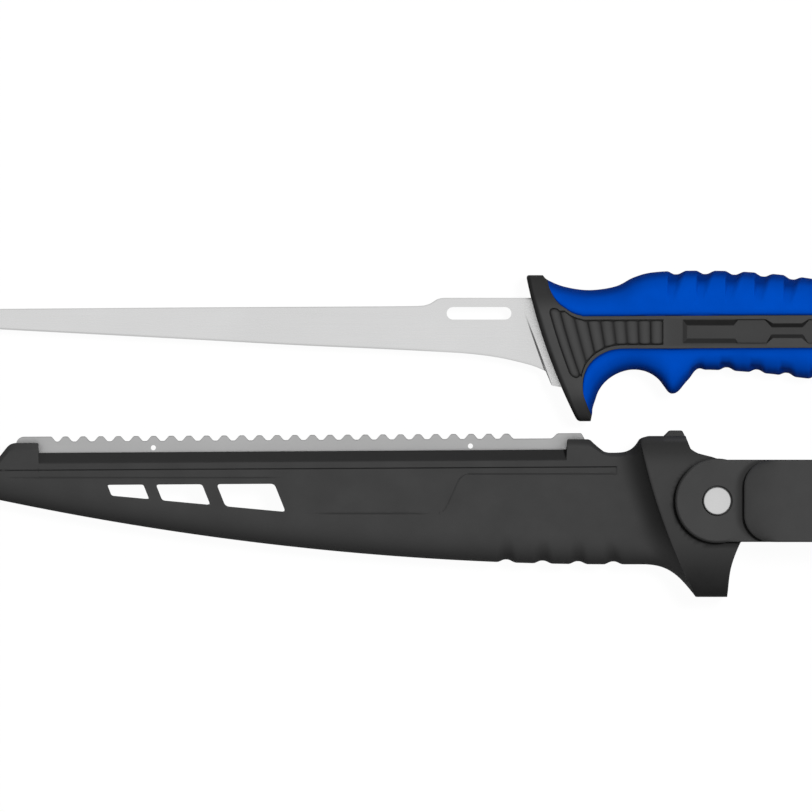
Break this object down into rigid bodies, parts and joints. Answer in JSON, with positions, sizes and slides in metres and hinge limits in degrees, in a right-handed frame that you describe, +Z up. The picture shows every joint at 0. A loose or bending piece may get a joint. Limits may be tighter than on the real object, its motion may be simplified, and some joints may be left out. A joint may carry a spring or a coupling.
{
  "type": "fillet knife with sheath",
  "caption": "Fillet knife with a slim ground blade and a two-colour ribbed handle, beside its hard sheath with scaler strip, windows and swivelling belt loop.",
  "frame": {"origin": "on the table under the middle of the box round the knife and the sheath as they lie side by side", "axes": "+X from the blade's tip to the handle's butt, +Y from the sheath to the knife, +Z up from the table"},
  "size_m": [0.3359, 0.0963, 0.0407],
  "materials": {
    "blade_steel": "satin ground steel",
    "black_plastic": "fine matt moulded black",
    "blue_rubber": "matt blue soft moulding",
    "strip_steel": "grey stamped steel",
    "loop_plastic": "fine matt moulded black",
    "rivet_steel": "bright turned steel",
    "washer_plastic": "black slip washer"
  },
  "bodies": {
    "knife": {"blade": "blade_steel", "handle_core": "black_plastic", "blue_grip": "blue_rubber"},
    "sheath": {"sheath_front_shell": "black_plastic", "sheath_back_shell": "black_plastic", "scaler_strip": "strip_steel", "pivot_rivet": "rivet_steel", "rivet_washer": "rivet_steel", "swivel_washer": "washer_plastic"},
    "belt_loop": {"belt_loop": "loop_plastic"}
  },
  "joints": [
    {"name": "sheath_lift", "type": "slide", "parent": "knife", "child": "sheath", "axis": [0, 0, 1], "range_m": [0, 0.12]},
    {"name": "loop_swivel", "type": "hinge", "parent": "sheath", "child": "belt_loop", "pos_m": [0.0868, -0.0198, 0.0308], "axis": [0, 0, 1], "continuous": true}
  ]
}
